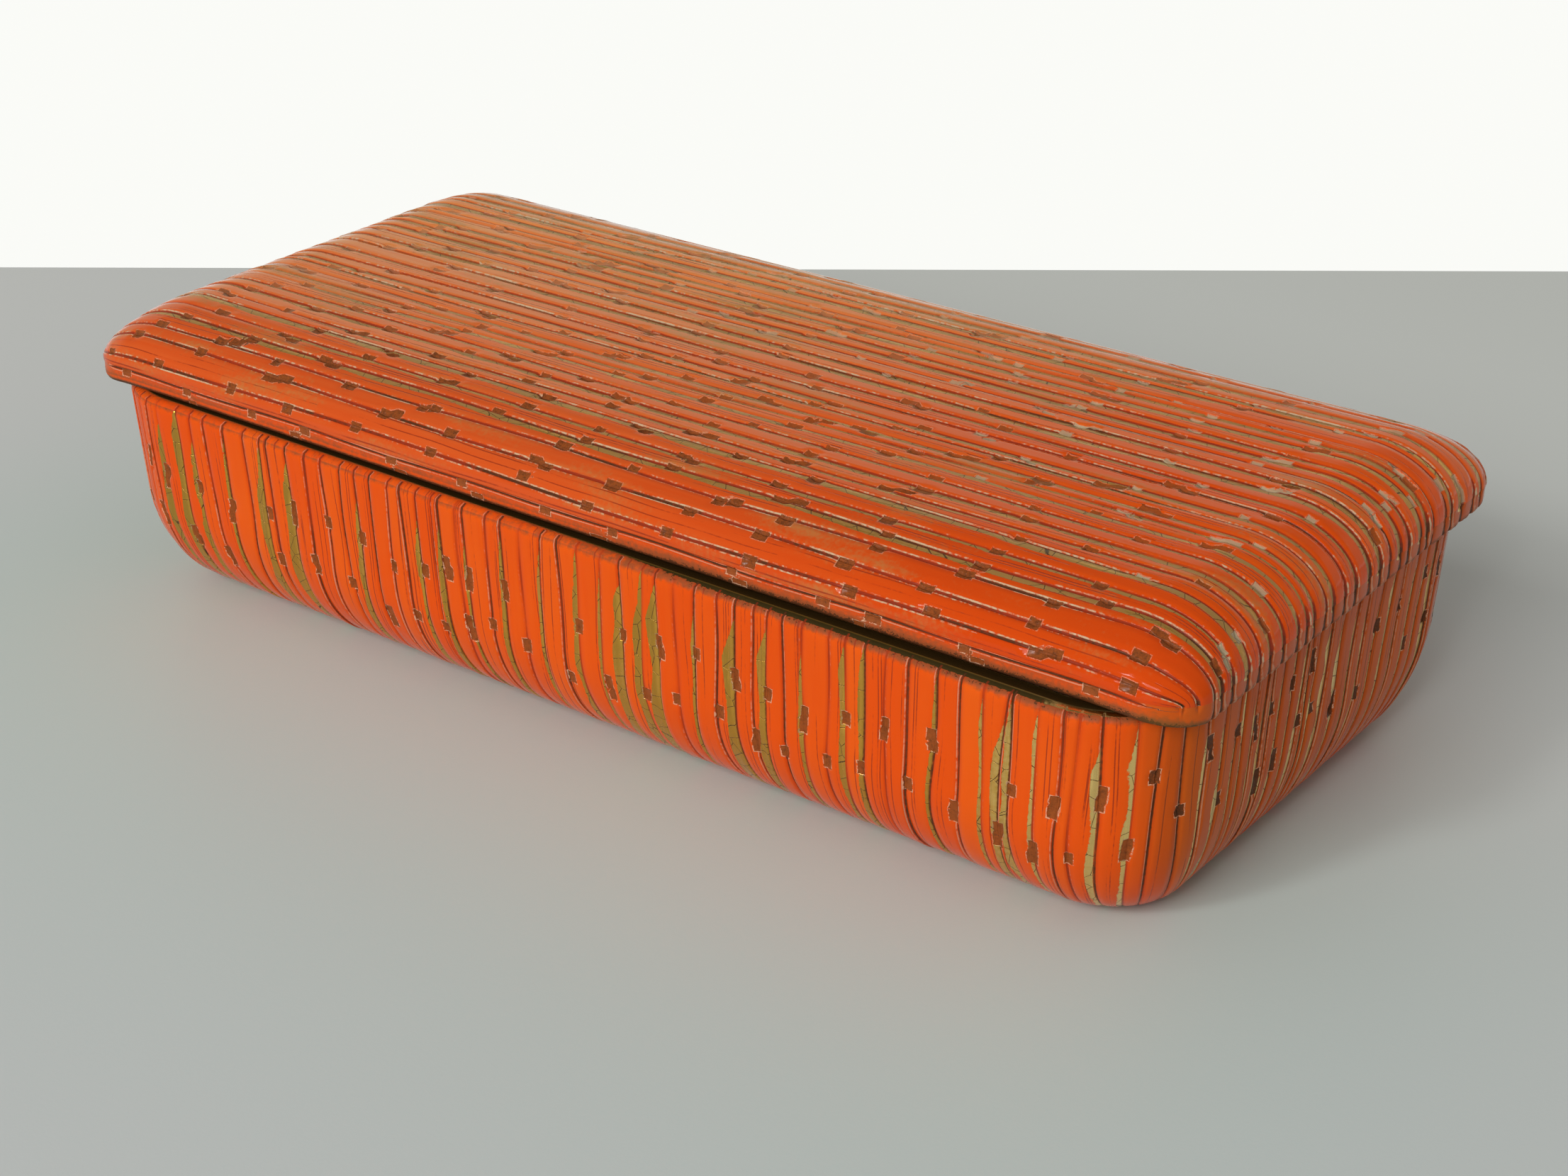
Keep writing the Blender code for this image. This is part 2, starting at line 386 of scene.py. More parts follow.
class Wire:
    """A socket in a material's node tree. Arithmetic on it adds Math nodes."""

    def __init__(self, tree, socket=None):
        self.tree = tree
        self.socket = socket

    def node(self, kind, settings=None, inputs=None, output=0):
        made = self.tree.nodes.new("ShaderNode" + kind)
        for name, value in (settings or {}).items():
            setattr(made, name, value)
        for name, value in (inputs or {}).items():
            if isinstance(value, Wire):
                self.tree.links.new(value.socket, made.inputs[name])
            else:
                made.inputs[name].default_value = value
        return Wire(self.tree, made.outputs[output])

    def math(self, operation, *others):
        return self.node("Math", {"operation": operation}, dict(enumerate((self, *others))))

    __add__ = __radd__ = partialmethod(math, "ADD")
    __mul__ = __rmul__ = partialmethod(math, "MULTIPLY")
    __sub__ = partialmethod(math, "SUBTRACT")
    __abs__ = partialmethod(math, "ABSOLUTE")
    least = partialmethod(math, "MINIMUM")
    most = partialmethod(math, "MAXIMUM")
    beyond = partialmethod(math, "GREATER_THAN")

    def __rsub__(self, other):
        return self.node("Math", {"operation": "SUBTRACT"}, {0: other, 1: self})

    def __neg__(self):
        return self * -1

    def rise(self, low, high):
        """0 up to low, 1 from high on, smooth between. With low above high it falls instead."""
        return self.node("MapRange", {"interpolation_type": "SMOOTHSTEP"},
                         {"Value": self, "From Min": low, "From Max": high})

    def blend(self, first, second):
        """Colour first where this is 0 and second where it is 1."""
        return self.node("Mix", {"data_type": "RGBA"}, {0: self, 6: first, 7: second}, output=2)

    def measure(self, name, output=2):
        """One of the mesh's own measures, as a number, or as a vector with output 1."""
        return self.node("Attribute", {"attribute_name": name}, output=output)

    def parts(self):
        split = self.tree.nodes.new("ShaderNodeSeparateXYZ")
        self.tree.links.new(self.socket, split.inputs[0])
        return [Wire(self.tree, out) for out in split.outputs]

    def stretched(self, across, along):
        """This place with its first two parts scaled."""
        return self.node("VectorMath", {"operation": "MULTIPLY"}, {0: self, 1: (across, along, 1.0)})

    def toward(self, direction):
        """How far this place lies that way."""
        return self.node("VectorMath", {"operation": "DOT_PRODUCT"}, {0: self, 1: direction}, output=1)

    def ray(self, kind):
        """1 for rays of that kind, and else 0."""
        return self.node("LightPath", output=f"Is {kind} Ray")

    def speckle(self, place, scale, detail=2.0):
        """Noise round zero, from about -0.5 to 0.5, with features of one over scale millimetres."""
        return self.node("TexNoise", None, {"Vector": place, "Scale": scale, "Detail": detail}) - 0.5


def new_finish(name, **sockets):
    """A material of one Principled shader with these socket values, and a wire to build on."""
    material = bpy.data.materials.new(name)
    material.use_nodes = True
    tree = material.node_tree
    shader = tree.nodes["Principled BSDF"]
    for socket, value in sockets.items():
        shader.inputs[socket.replace("_", " ")].default_value = value
    wire = Wire(tree)
    millimetres = wire.node("VectorMath", {"operation": "SCALE"},
                            {0: wire.node("TexCoord", output=3), "Scale": 1 / MM})
    return material, shader, wire, millimetres


def connect(shader, **sockets):
    for name, wire in sockets.items():
        wire.tree.links.new(wire.socket, shader.inputs[name.replace("_", " ")])


glaze_orange = (0.83, 0.086, 0.004, 1)
glaze_light = (0.88, 0.120, 0.007, 1)
# shaded_glaze: painted shade, on the lid's front slope and beside the scored lines
shaded_glaze = (0.60, 0.046, 0.004, 1)
glaze_thin = (0.36, 0.080, 0.022, 1)       # where it has run off an edge
line_red = (0.34, 0.035, 0.010, 1)
score_brown = (0.105, 0.034, 0.012, 1)     # slip left in a deep line
pale_burr_and_highlight = (0.80, 0.44, 0.27, 1)          # clay that shows through on burrs and borders, on the tray and on the lid, also a painted highlight on their edges
tan_burr_and_highlight = (0.70, 0.52, 0.32, 1)
pit_brown = (0.34, 0.080, 0.016, 1)
# painted_pit_reflection: painted reflection of the bright room in glossy pits, towards the lid's rear and
# right
painted_pit_reflection = (0.50, 0.38, 0.23, 1)
# painted_gold_glint: painted glint on the gold towards the tray's right end
painted_gold_glint = (0.95, 0.66, 0.24, 1)
lustre_gold = (0.68, 0.36, 0.060, 1)
lustre_worn = (0.46, 0.245, 0.070, 1)
painted_rim_edge_reflection = (0.048, 0.034, 0.009, 1)    # painted dark reflection on the rim's gilt outer edge, of the shaded lid above it
painted_rim_flat_reflection = (0.11, 0.058, 0.016, 1)        # and on its gilt flat, a dull brown for the shaded gap it mirrors
painted_end_shade = (0.19, 0.105, 0.010, 1)         # painted shade and grey reflection over the tray's end walls, which face away from the lamp
painted_lid_sheen = (0.97, 0.57, 0.19, 1)        # painted sheen over the lid's top, strongest at its rear and left
craze_dark = (0.09, 0.045, 0.018, 1)


def scored_glaze(name, gloss):
    """Orange glaze over scored and punched clay, with gold lustre where the gold measure is above zero.

    Every mask is a threshold on a measure, made ragged by noise, and each layer of colour lies over the
    ones before it.
    """
    material, shader, wire, place = new_finish(name, IOR=1.5, Specular_IOR_Level=gloss)
    # Noise from coarse to fine, and streaks that run along the lines
    broad = wire.speckle(place, 0.06, 3.0)
    ragged = wire.speckle(place, 1.3, 3.0)
    fine = wire.speckle(place, 4.0)
    comb = wire.measure("comb", 1)
    streak = wire.speckle(comb.stretched(0.9, 0.05), 1.0, 3.0)
    # Where on the box: on the lid, at its rear, on its front slope, at the tray's ends
    thinness = wire.measure("worn")
    on_lid = thinness.rise(-0.3, -0.6)
    rightward, backward, _ = place.parts()
    # Towards the lid's rear the glaze takes a painted sheen: fainter lines, gold and pits, wider pale burrs,
    # paler pits, more worn patches
    rear = (backward - rightward * 0.35).rise(-25.0, 65.0) * on_lid
    front = (-backward).rise(24.0, 36.0)
    at_end = abs(rightward).rise(109.0, 116.0) * (1 - on_lid)

    # Scored lines with soft red sides, painted shade where the crowned bands dip to them, finer lines, and
    # burrs that break up where a line is weak
    distance, banked, strength = wire.measure("score", 1).parts()
    distance = abs(distance)
    broken = strength * (broad * 0.7 + ragged * 0.8 + 1.0)
    line = (distance + ragged * 0.14 - on_lid * 0.06).rise(0.25, 0.10) * broken.rise(0.15, 0.6)
    painted_line_shade = (distance + fine * 0.1 + on_lid * 0.2).rise(0.85, 0.1) * strength.rise(0.0, 0.6)
    first, second, third = (abs(part) for part in wire.measure("hair", 1).parts())
    hair = first.least(second).least(third) + fine * 0.06
    hairline = hair.rise(0.15, 0.05) * (streak * 1.5 + broad + ragged * 0.4).rise(-0.20, 0.15)
    bank = (abs(distance - score_wide) + fine * 0.10 - on_lid * 0.04 - rear * 0.09).rise(0.15, 0.05)
    bank = bank * banked * (broken + ragged).rise(0.4, 1.0)
    bank = bank * (1 - on_lid * (streak + ragged * 0.5).rise(0.10, -0.10))
    # Punched marks: pits with a pale border, partly clay that shows through and partly a painted highlight on
    # its raised edge
    off_along, off_across, pale = wire.measure("mark", 1).parts()
    outside = off_along.most(off_across) + ragged * 0.3 + fine * 0.15
    border = outside.rise(0.24, 0.14) * outside.rise(0.0, 0.07) * (ragged + fine * 0.5).rise(-0.10, 0.08)
    border = border * (1 - on_lid * 0.5)
    pit = outside.rise(0.06, -0.08)
    # Gold: worn off the rim's outer edge at the left, painted dark along it but for the near corner, crazed,
    # rubbed, with a painted glint at the right end
    on_flat = thinness.rise(0.95, 1.15)
    on_edge = thinness.rise(0.6, 0.8) * (1 - on_flat)
    at_corner = (rightward + ragged * 5 + streak * 4).rise(97.0, 101.0) * rightward.rise(114.0, 111.0)
    dull_edge = on_edge * (1 - at_corner)
    ungilt = (rightward + ragged * 25).rise(40.0, -20.0) * on_edge
    inside = wire.measure("gold") + streak * 0.5 + ragged * 0.3 + fine * 0.2 - ungilt * 3 - rear * 0.13
    gilt = inside.rise(-0.04, 0.05)
    craze = wire.node("TexVoronoi", {"feature": "DISTANCE_TO_EDGE"},
                      {"Vector": place, "Scale": 0.24, "Randomness": 1.0}) + fine * 0.02
    crack = craze.rise(0.015, 0.005) * thinness.rise(0.5, 0.1)
    rubbed = (thinness * -0.9 + streak * 1.3 + ragged * 0.5 + broad + 0.15).rise(0.0, 1.0)
    # Painted glint: the gold brightens towards the tray's right end
    painted_glint_zone = (rightward + ragged * 30).rise(75.0, 110.0) * (1 - on_lid)

    worn = thinness + ragged * 0.6 + streak * 0.5 - ungilt * 0.5
    # Painted sheen: a pale film over the lid, strongest at its rear and towards its left
    painted_sheen = on_lid * rightward.rise(90.0, -20.0) * 0.17 + rear * 0.32
    patch = (wire.speckle(comb.stretched(0.14, 0.03), 1.0, 3.0) + ragged * 0.3).rise(0.0, 0.26) * on_lid
    gold = rubbed.blend(painted_glint_zone.blend(lustre_gold, painted_gold_glint), lustre_worn)
    gold = crack.blend(gold, craze_dark)
    # Painted dark reflection on the rim's gilt edge and flat, of the shaded lid above it
    gold = dull_edge.blend(on_flat.blend(gold, painted_rim_flat_reflection), painted_rim_edge_reflection)
    line_colour = (broken - on_lid * 0.25).rise(0.45, 0.8).blend(line_red, score_brown)
    pit = pit * (1 - on_lid * (1 - front) * 0.15 - rear * 0.3)
    # Pits on the tray's end walls are darker: painted shade
    pit_colour = (ragged + fine + on_lid * front * 0.15 + at_end * 0.6 + 0.3).rise(0.1, 1.0)
    pit_colour = (rear * 0.4).blend(pit_colour.blend(pit_brown, score_brown), painted_pit_reflection)
    pale = (pale + ragged * 0.8 + fine * 0.6).rise(0.5, 0.8)

    colour = (wire.measure("tone") * 0.9 + broad * 0.7 + streak * 0.5 + 0.35).rise(0.0, 1.0)
    colour = colour.blend(glaze_orange, glaze_light)
    for mask, layer in (
            (worn.rise(0.2, 0.8), glaze_thin),
            ((worn + fine * 1.2 + ragged * 0.4 - ungilt * 0.4).rise(0.92, 1.02), score_brown),
            ((0.8 + streak) * painted_sheen, painted_lid_sheen),
            # Painted shade on the lid's front slope
            ((-backward).rise(30.0, 50.0) * on_lid * 0.55, shaded_glaze),
            (patch * (rear * 0.3 + 0.6), lustre_worn),
            # Painted shade beside the scored lines
            (painted_line_shade * 0.6, shaded_glaze),
            (hairline * 0.85, line_red),
            # Painted shade and reflection on the tray's end walls
            (at_end * 0.34, painted_end_shade),
            # Burrs: clay through the glaze, and a painted highlight on their edges
            (bank * (on_lid * 0.4 + 0.5), on_lid.blend(pale_burr_and_highlight, tan_burr_and_highlight)),
            (gilt, gold),
            (line * (1 - rear * 0.4), line_colour),
            (border * 0.9, pale_burr_and_highlight),
            (pit, pale.blend(pit_colour, painted_pit_reflection))):
        colour = mask.blend(colour, layer)

    metal = gilt * (1 - dull_edge) * (1 - on_flat * 0.3) * (1 - crack) * (1 - pit) * (1 - line)
    metal = metal * (1 - rubbed * 0.8) * (1 - at_end * 0.7)
    rough = (0.11 + ragged * 0.05 + thinness.rise(0.1, 0.8) * 0.4) * (1 - gilt)
    rough = rough + gilt * (0.18 + streak * 0.3 + rubbed * 0.15 + dull_edge * 0.3) + line * 0.2 + pit * 0.1
    height = bank * 0.35 + border * 0.3 - line * 0.6 - pit * 1.0 - gilt * 0.25 - crack * gilt * 0.3
    height = height - hairline * 0.25 + fine * 0.05 * gilt + broad * 0.5 + streak * 0.12 + ragged * 0.05
    bump = wire.node("Bump", None, {"Strength": 0.55, "Distance": 0.25 * MM, "Height": height})
    connect(shader, Base_Color=colour, Metallic=metal, Roughness=rough, Normal=bump)
    return material


def biscuit():
    """Bare fired clay, buff and matt, with a fine grain."""
    material, shader, wire, place = new_finish("bare_clay", IOR=1.45, Roughness=0.85)
    grain = wire.speckle(place, 2.5, 4.0)
    cloud = wire.speckle(place, 0.12)
    colour = (grain * 0.8 + cloud + 0.5).rise(0.0, 1.0).blend((0.46, 0.29, 0.19, 1), (0.60, 0.42, 0.30, 1))
    bump = wire.node("Bump", None, {"Strength": 0.4, "Distance": 0.15 * MM, "Height": grain})
    connect(shader, Base_Color=colour, Normal=bump)
    return material


def tray_outside(rng):
    """The outside's decorated rings from foot to rim.

    Gives their block, each point's distance round the tray, and the distance walked up to each row.
    """
    count = score_count
    gaps = rng.uniform(3.1, 4.7, count)
    gaps[rng.random(count) < 0.15] *= 0.5
    gaps *= rim_length / gaps.sum()
    band, share = column_shares(gaps)
    curve = np.linspace(0, pi / 2, 60)
    turn = np.linspace(0, pi / 2, 12)
    outside = evenly(np.concatenate([
        turning_levels(foot_round_height * (1 - np.cos(curve)), 1 - np.sin(curve)),
        turning_levels(rim_height - rim_edge * (1 - np.sin(turn)), 0.0, rim_edge * (1 - np.cos(turn)))]),
        row_step)
    up = path_length(outside)
    down = up[-1] - up

    # Scored lines, stronger towards the foot, and gold stripes with a pointed top beside some of them
    start = walk(gaps)
    drift = wander(down, 0.32, (25, 70), rng, count)
    drift = drift + np.outer(down - 20, rng.normal(0, 0.012, count))
    lines = start + np.hstack([drift, drift[:, :1]])
    facing = around_the_rim(start[:-1])[2]
    on_end = np.abs(np.cos(facing)) > 0.9
    base_strength = rng.choice([0.45, 0.8, 1.0], count, p=[0.25, 0.35, 0.4])
    base_strength = np.maximum(base_strength, 0.95 * on_end)
    swell = 0.84 + 0.28 * smooth(down, 5, 40)[:, None] + wander(down, 0.22, (15, 50), rng, count)
    strength = np.clip(base_strength * swell, 0.05, 1.1)
    strength = np.hstack([strength, strength[:, :1]])
    side = rng.choice([-1, 1], count)
    side = np.append(side, side[0])
    has_gold = (np.arange(count) % 2 == 0) ^ (rng.random(count) < 0.2) | on_end
    full = rng.uniform(0.6, 1.3, count) * np.where(rng.random(count) < 0.12, 1.7, 1.0)
    full = full * (1 + 0.5 * (np.abs(np.sin(2 * facing)) > 0.2))
    full = np.minimum(full, gaps * np.where(on_end, 0.36, 0.60))
    top = rng.uniform(0.3, 6.0, count)
    rise = rng.uniform(4.0, 11.0, count)
    ragged_width = 1 + wander(down, 0.22, (8, 26), rng, count)
    gold = full * np.minimum((down[:, None] - top) / rise, 1.0) * ragged_width
    gold = np.where(has_gold, np.maximum(gold, -1.5), -3.0)
    place, distance, banked, force, inside, centred = scored_bands(lines, band, share, strength, side, gold)
    hair = hairlines(lines, band, place, rng)

    # Punched marks, on the lines by turns in a lower and an upper row, which wave a little
    marks = []
    mark_rows = 25.5, 15.0
    for number in range(count):
        if rng.random() < 0.12:
            continue
        depth_down = mark_rows[number % 2] - 4.5 * on_end[number] + 2.2 * sin(0.55 * number)
        depth_down += rng.normal(0, 0.7)
        centre = start[number] + rng.uniform(-0.4, 0.9)
        size = rng.uniform(1.0, 1.4), rng.uniform(0.65, 0.9), rng.uniform(0.3, 0.45), 0.0
        marks.append((depth_down, centre, *size))
        if rng.random() < 0.45:
            marks.append((depth_down + size[0] * 1.8, centre + rng.choice([-0.4, 0.4]), *size))
    mark = punch(marks, down, place)

    # The rim's gilding covers the top of the wall, and everything scored fades out on the rim's round edge
    rim_share = smooth(down, 0.3, 1.8)[:, None]
    foot_share = smooth(outside[:, 3], 0.0, 1.5)[:, None]
    level = rng.normal(0, 0.035, count)[band] + rng.normal(0, 0.03, count)[band] * centred
    lift = relief(distance, banked, force, inside, centred, mark, level) * rim_share * foot_share
    worn = 0.85 * (1 - smooth(down, 1.3, 2.6))[:, None]
    inside = np.maximum(inside, gilt_rim_depth - down[:, None])
    tone = rng.normal(0, 0.22, count)[band]
    points = level_rings(around_the_rim(place), outside)
    block = rings(points, score=together(distance, banked, force), mark=mark[..., [0, 1, 3]], gold=inside,
                  tone=tone, worn=worn, hair=hair, lift=lift, comb=together(place, down[:, None], 0.0),
                  strip=together(place, up[:, None]), plan=points[..., :2])
    return block, place, up


def tray_skin():
    """The tray's rings from the middle of the recess under it, over the outside and the rim, to its floor."""
    outside, place, up = tray_outside(np.random.default_rng(20))

    def plain_rings(levels, thinning, edge_row, walked=0.0, spread=0.0, **measures):
        """Undecorated rings, with the columns of the outside's first or last row thinned out."""
        columns = place[edge_row, ::thinning]
        where = around_the_rim(columns)
        strip = together(columns, np.broadcast_to(walked, len(levels))[:, None])
        plan = unrolled(where, levels, np.broadcast_to(spread, len(levels)))
        return rings(level_rings(where, levels), strip=strip, plan=plan, **measures)

    def under(*steps):
        """Level rings under the foot: how far each lies inside the foot's outline, and its height."""
        inset, height = np.array(steps).T
        return turning_levels(0.0, 1.0, inset) + np.array([0, 0, 0, 1]) * height[:, None]

    recess = under((30.0, foot_recess), (18.0, foot_recess), (foot_ring + 0.6, foot_recess),
                   (foot_ring + 0.2, foot_recess - 0.15), (foot_ring, foot_recess - 0.5),
                   (foot_ring - 0.15, 0.2), (foot_ring - 0.5, 0.0), (3.5, 0.0))
    under_foot = plain_rings(recess, 4, 0)
    foot_outer = plain_rings(under((1.0, 0.0)), 2, 0)
    flat_width = tray_wall - 2 * rim_edge
    rim_flat = turning_levels(rim_height, 0.0, np.array([tray_wall / 2, tray_wall - rim_edge]))
    rim_top = plain_rings(rim_flat, 1, -1, up[-1] + np.array([0.5, 1]) * flat_width, gold=2.0, worn=1.3)
    turn = np.linspace(0, pi / 2, 5)[1:]
    rim_in = turning_levels(rim_height - rim_edge * (1 - np.cos(turn)), 0.0,
                            tray_wall - rim_edge * (1 - np.sin(turn)))
    gilding = np.array([1.5, 0.8, 0.1, -0.5])[:, None]
    rim_inner = plain_rings(rim_in, 2, -1, up[-1] + flat_width + rim_edge * turn, gold=gilding)
    inside_levels = evenly(cavity_levels(np.linspace(0, pi / 2, 60)[::-1]), 2.4)
    flat_floor = cavity_levels(np.zeros(2))
    flat_floor[:, :3] -= np.array([[8.0, 8.0, 2.0], [20.0, 20.0, 3.5]])
    reach = path_length(np.concatenate([rim_in[-1:], inside_levels]))
    cavity = plain_rings(inside_levels, 4, -1, spread=reach[-1] - reach[1:])
    # The rim's last ring is also the first of the cavity on its plan
    rim_last = unrolled(around_the_rim(place[-1, ::2]), rim_in[-1:], reach[-1:])
    rim_inner["plan"] = np.broadcast_to(rim_last, rim_inner["plan"].shape)
    floor = plain_rings(flat_floor, 4, -1)
    return [under_foot, foot_outer, outside, rim_top, rim_inner, cavity, floor]


blocks = tray_skin()
flat, numbers = join_blocks(blocks)
faces = skin_faces(numbers) + [numbers[-1][None]]
# The UV page: the outside in four strips, the inside as plan 0 and what is under the foot as plan 1
tray_page = 242.0
sides = straight_length + corner_bend, straight_width + corner_bend
strips = [(1.0, 1.0), (1.0, 119.0), (1.0, 60.0), (114.0, 119.0)]
plans = [(62.0, 209.0, 0.44), (186.0, 200.0, 0.5)]
under_count, outer_count, inner_count = (len(blocks[i]["points"]) for i in (0, 2, 4))
on_plan = [1] * (under_count + 2) + [None] * (outer_count + 1 + inner_count)
on_plan += [0] * (len(faces) - len(on_plan))
page = lay_on_page(flat, faces, on_plan, sides, strips, plans, tray_page)
clay = biscuit()
foot_pairs = range(5, 9)          # the pairs of rings that make the foot ring
tray = make_mesh("scored_tray", flat, faces, foot_pairs, page, (scored_glaze("tray_glaze", 0.09), clay))
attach(tray, "tray")
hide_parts("base")


# The lid
# A slab pressed over a mould: a pillow with a rolled lip, scored lengthwise from end to end and punched,
# glazed and gilt as the tray is. Underneath it is hollow, with a flange that keeps it on the tray.

lid_low, lid_high = (np.array(corner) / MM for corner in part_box("lid"))
lid_half_length, lid_half_width = ((lid_high - lid_low) / 2)[:2]
lid_shift = (lid_high[1] + lid_low[1]) / 2       # the lid lies pushed back within its play
lid_top = lid_high[2]
seat_height = 42.6
arch = 0.3                        # how far the seat rises clear of the sides
arch_power = 20
lip_thickness = 3.7
lip_undercut = 2.3
lip_drop = 1.1
seat_inset = 2.6
lid_corner = 9.0
end_crown = 15.5
side_crown = 22.3
flange_inset = 7.7                # from the tray's outside to the flange's
flange_corner = 11.3
flange_thickness = 4.0
flange_foot = 36.3
lid_ceiling = 49.8
lid_row_step = 1.14
middle_bands = 25                 # between the five at the front and the three at the rear
mark_spacing = 19.5
front_mark_spacing = 17.0
mark_margin = 4.0
lid_turn = radians(0.45)          # it lies a little askew and forward in its play, as a hand puts it back
lid_forward = 0.8
border_height = 5.4               # of the strips round the lid on its UV page
lid_widest = seat_height + arch + lip_thickness
crown_drop = lid_top - lid_widest
flat_half_length = lid_half_length - end_crown
flat_half_width = lid_half_width - side_crown


def quarter_ellipse(width, drop):
    """Angles from the flat top to the widest line of a crown, and the distance walked to each."""
    angle = np.linspace(0, pi / 2, 300)
    step = np.hypot(np.diff(width * np.sin(angle)), np.diff(drop * np.cos(angle)))
    return angle, walk(step)


def over_the_crown(walked, flat_half, width):
    """Place and crown angle at a distance walked from the middle, over the flat top and down the crown."""
    angle, length = quarter_ellipse(width, crown_drop)
    turn = np.interp(np.abs(walked) - flat_half, length, angle)
    return np.sign(walked) * (np.minimum(np.abs(walked), flat_half) + width * np.sin(turn)), turn


def lid_fall(x, half_length, height):
    """How far the lid's outside comes down at its ends: nothing at the top, and most at the lip's edge."""
    share = (lid_top - height) / (lid_top - seat_height - arch)
    return (arch + lip_drop) * share * (np.abs(x) / half_length) ** arch_power


def lid_surface(along, across):
    """The lid's top at distances walked lengthwise and crosswise, rows by columns.

    Both crowns are quarter ellipses, and their cosines multiply. The plan's corners are rounded by the map
    that turns a square into a disc.
    """
    x, turn_x = over_the_crown(along, flat_half_length, end_crown)
    y, turn_y = over_the_crown(across, flat_half_width, side_crown)
    corner_x = np.clip((np.abs(x) - lid_half_length + lid_corner) / lid_corner, 0, 1)
    corner_y = np.clip((np.abs(y) - lid_half_width + lid_corner) / lid_corner, 0, 1)
    x = x - np.sign(x) * lid_corner * corner_x * (1 - np.sqrt(1 - corner_y ** 2 / 2))
    y = y - np.sign(y) * lid_corner * corner_y * (1 - np.sqrt(1 - corner_x ** 2 / 2))
    nearness = np.cos(turn_x) * np.cos(turn_y)
    height = lid_top - crown_drop * (1 - nearness)
    half_length = flat_half_length + end_crown * np.sqrt(1 - nearness ** 2)
    return together(x, y, height - lid_fall(x, half_length, height))


def lid_pattern(rng):
    """The lid's sheet, rows lengthwise by columns crosswise.

    Gives the distances walked lengthwise and crosswise, half the whole way across, and the measures.
    """
    half_long = flat_half_length + quarter_ellipse(end_crown, crown_drop)[1][-1]
    half_wide = flat_half_width + quarter_ellipse(side_crown, crown_drop)[1][-1]
    front = [2.4, 4.5, 4.2, 3.5, 3.7]
    back = [3.0, 2.6, 2.2]
    rest = 2 * half_wide - sum(front) - sum(back)
    gaps = rng.uniform(2.8, 4.4, middle_bands)
    gaps[rng.random(middle_bands) < 0.10] *= 0.6
    gaps = np.concatenate([front, gaps * rest / gaps.sum(), back])
    count = len(gaps)
    band, share = column_shares(gaps)
    share[0], share[-1] = 0.0, 1.0
    row_count = int(2 * half_long / lid_row_step)
    row_count += (row_count + len(band)) % 2
    along = np.linspace(-half_long, half_long, row_count)

    start = walk(gaps) - half_wide
    drift = wander(along, 0.3, (60, 150), rng, count + 1)
    drift = drift + np.outer(along / half_long, rng.normal(0, 0.25, count + 1))
    drift[:, [0, -1]] = 0.0
    lines = start + drift
    strength = rng.choice([0.35, 0.6, 0.9], count + 1, p=[0.3, 0.4, 0.3])
    strength[:5] = 0.9
    strength = np.clip(strength * (0.9 + wander(along, 0.3, (25, 90), rng, count + 1)), 0.05, 1.1)
    strength[:, [0, -1]] = 0.0
    side = rng.choice([-1, 0, 1], count + 1, p=[0.3, 0.6, 0.1])
    side[:5] = 0
    has_gold = rng.random(count) < 0.92
    has_gold[[0, 1, 2, -1]] = False
    full = gaps * rng.uniform(0.20, 0.42, count)
    first = rng.uniform(-2.4, -0.5, count) * half_long
    last = rng.uniform(0.5, 2.4, count) * half_long
    taper = rng.uniform(12, 40, count)
    ragged_width = 1 + wander(along, 0.16, (9, 40), rng, count)
    ends = np.minimum((along[:, None] - first) / taper, (last - along[:, None]) / taper)
    gold = np.where(has_gold, np.maximum(full * np.minimum(ends, 1) * ragged_width, -1.5), -3.0)
    place, distance, banked, force, inside, centred = scored_bands(lines, band, share, strength, side, gold)

    end_share = smooth(np.abs(along)[:, None], half_long - 4.5, half_long - 0.5)
    distance = distance * (1 - 0.45 * end_share)
    force = np.maximum(force, 0.95 * end_share)
    hair = hairlines(lines, band, place, rng)

    marks = []
    for number in range(1, count):
        spacing = front_mark_spacing if number < 4 else mark_spacing
        at = mark_margin - half_long + (number * 4.8 + 2 * sin(number)) % spacing
        while at < half_long - mark_margin:
            size = rng.uniform(1.0, 1.6), rng.uniform(0.65, 1.0), rng.uniform(0.3, 0.5)
            # Towards the lid's right and rear more marks are pale: a painted reflection of the bright room in
            # their glossy pits
            pale = rng.random() < 0.65 * smooth(at + 2.5 * start[number], -60, 110)
            size = (size[0] * (1 - 0.2 * pale), size[1] * (1 - 0.3 * pale), size[2], float(pale))
            centre = np.interp(at, along, lines[:, number]) + rng.choice([-0.5, 0.0, 0.5])
            if rng.random() < 0.9:
                marks.append((at, centre, *size))
            if rng.random() < 0.35:
                marks.append((at + 2.2 * size[0], centre + rng.choice([-0.8, 0.8]), *size))
            at += spacing + rng.normal(0, 1.6)
    mark = punch(marks, along, place)
    level = rng.normal(0, 0.04, count)[band] + rng.normal(0.0, 0.05, count)[band] * centred
    lift = relief(distance, banked, force, inside, centred, mark, level)
    tone = rng.normal(0, 0.22, count)[band]
    measures = {
        "score": together(distance, banked, force), "hair": hair, "mark": mark[..., [0, 1, 3]],
        "gold": inside, "worn": -0.7, "tone": tone, "lift": lift,
        "comb": together(place, along[:, None], 0.0),
        "strip": together(along[:, None], start[band] + share * gaps[band])}
    return along, place, half_wide, measures


